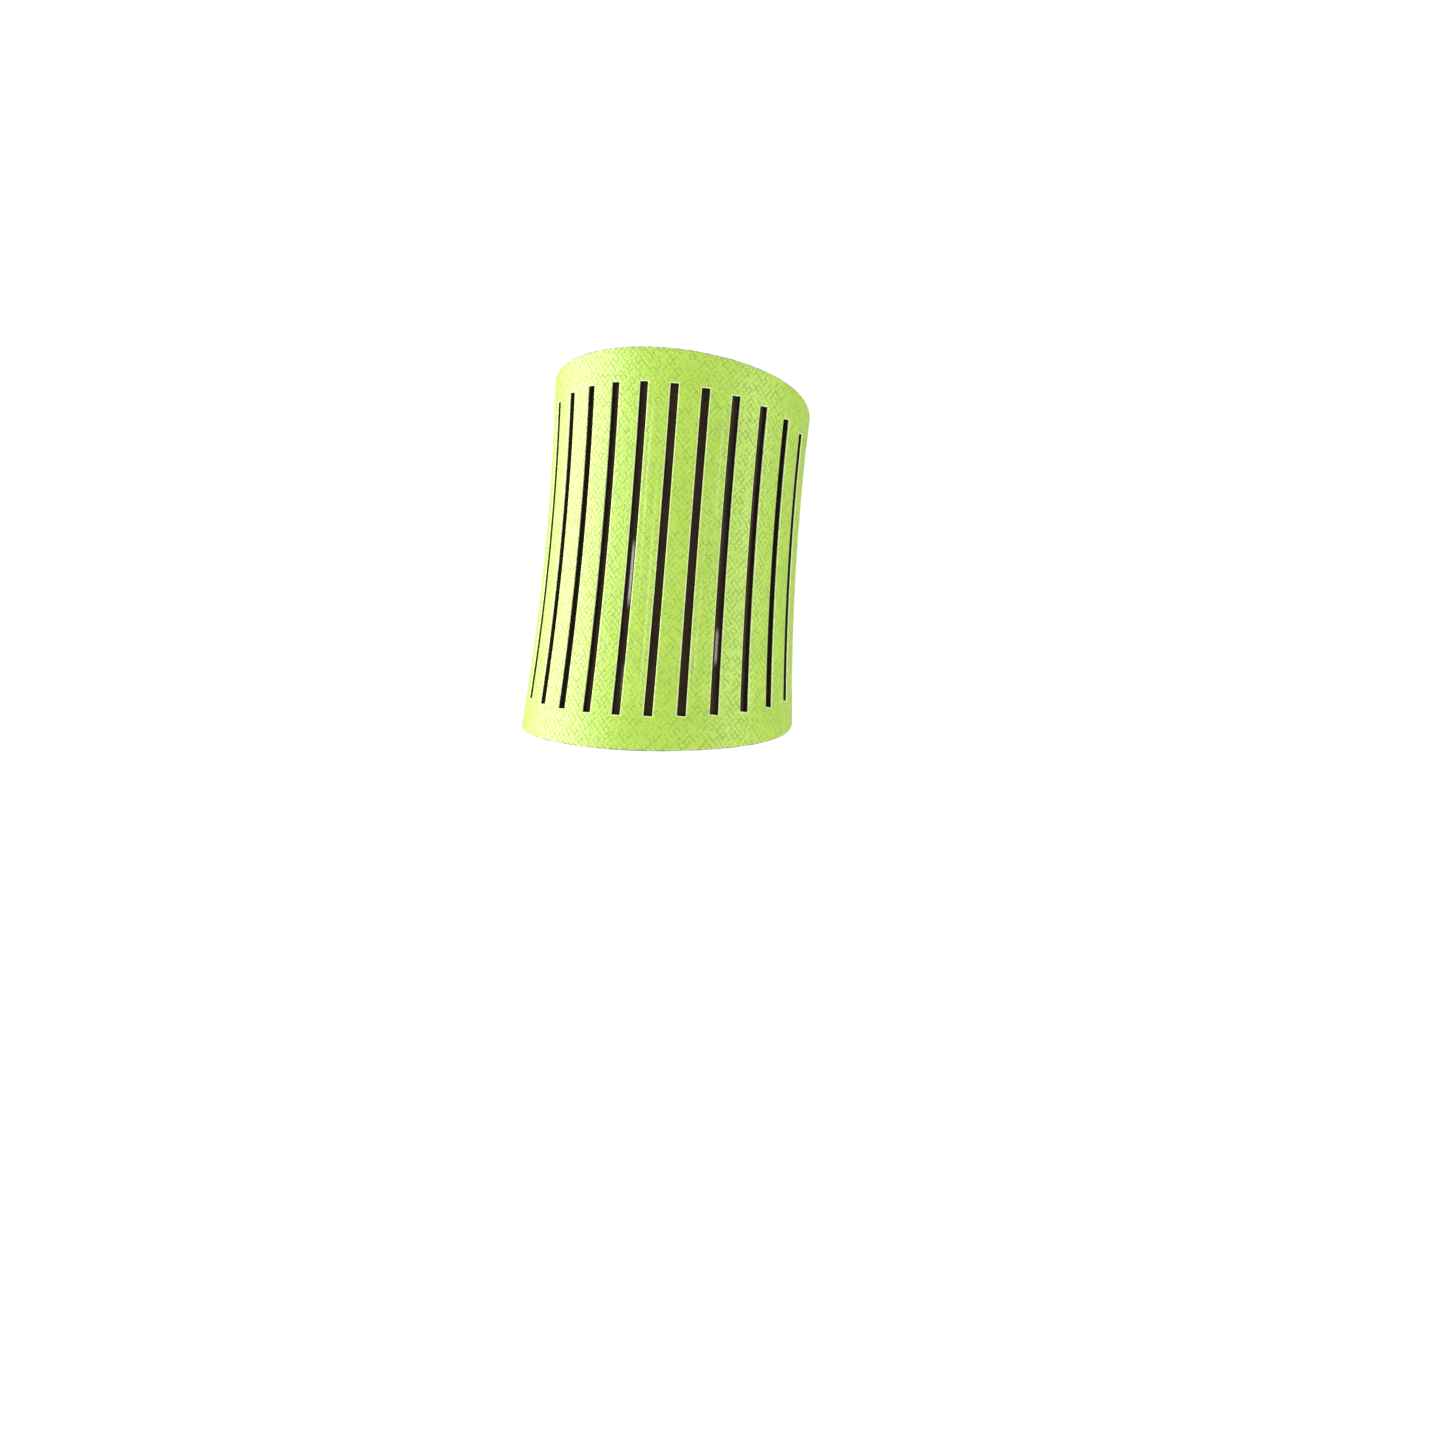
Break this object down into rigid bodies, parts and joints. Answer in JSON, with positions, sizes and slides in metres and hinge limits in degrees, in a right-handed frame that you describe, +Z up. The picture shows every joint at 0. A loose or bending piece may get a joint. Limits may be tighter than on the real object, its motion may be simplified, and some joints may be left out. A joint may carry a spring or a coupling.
{
  "type": "wristband",
  "caption": "Tall slotted leather wristband, curved top and bottom edges, wrapped round the wrist and closed at the back by press studs on an overlapping flap.",
  "frame": {"origin": "on the line of the wrist, at the middle of the band's height, with the closed band round it", "axes": "+Z up the forearm, towards the elbow on an arm that hangs down, -Y out of the band's tallest side, +Y out of the press studs, +X towards the side that the flap comes from"},
  "size_m": [0.066, 0.0615, 0.097],
  "materials": {
    "outer_leather": "lime green, embossed with a fine cross-hatch, semi-gloss wax coat",
    "lining": "dark brown, matt, fine nap",
    "nickel": "polished nickel plate on pressed brass",
    "spring_steel": "bright spring wire"
  },
  "bodies": {
    "front": {"outer_leather_front": "outer_leather", "lining_front": "lining"},
    "right_side": {"outer_leather_right_side": "outer_leather", "lining_right_side": "lining"},
    "right_back": {"outer_leather_right_back": "outer_leather", "lining_right_back": "lining"},
    "snap_tab": {"outer_leather_snap_tab": "outer_leather", "lining_snap_tab": "lining", "snap_cap_upper": "nickel", "snap_cap_lower": "nickel", "snap_socket_upper": "nickel", "snap_socket_lower": "nickel", "ring_spring_upper": "spring_steel", "ring_spring_lower": "spring_steel"},
    "left_side": {"outer_leather_left_side": "outer_leather", "lining_left_side": "lining"},
    "underlap": {"outer_leather_underlap": "outer_leather", "lining_underlap": "lining", "snap_stud_upper": "nickel", "snap_stud_lower": "nickel", "snap_post_upper": "nickel", "snap_post_lower": "nickel"}
  },
  "joints": [
    {"name": "right_side_flex", "type": "hinge", "parent": "front", "child": "right_side", "pos_m": [0.02802, -0.01761, 0], "axis": [0, 0, -1], "range_deg": [0, 28]},
    {"name": "right_back_flex", "type": "hinge", "parent": "right_side", "child": "right_back", "pos_m": [0.02959, 0.01312, 0], "axis": [0, 0, -1], "range_deg": [0, 28]},
    {"name": "snap_tab_peel", "type": "hinge", "parent": "right_back", "child": "snap_tab", "pos_m": [0.0132, 0.02759, 0], "axis": [0, 0, -1], "range_deg": [0, 56]},
    {"name": "left_side_flex", "type": "hinge", "parent": "front", "child": "left_side", "pos_m": [-0.02802, -0.01761, 0], "axis": [0, 0, 1], "range_deg": [0, 14]},
    {"name": "underlap_flex", "type": "hinge", "parent": "left_side", "child": "underlap", "pos_m": [-0.0295, 0.01319, 0], "axis": [0, 0, 1], "range_deg": [0, 14]}
  ],
  "couplings": [
    {"joint": "right_back_flex", "follows": "right_side_flex", "ratio": 1},
    {"joint": "snap_tab_peel", "follows": "right_side_flex", "ratio": 2},
    {"joint": "left_side_flex", "follows": "right_side_flex", "ratio": 0.5},
    {"joint": "underlap_flex", "follows": "right_side_flex", "ratio": 0.5}
  ]
}
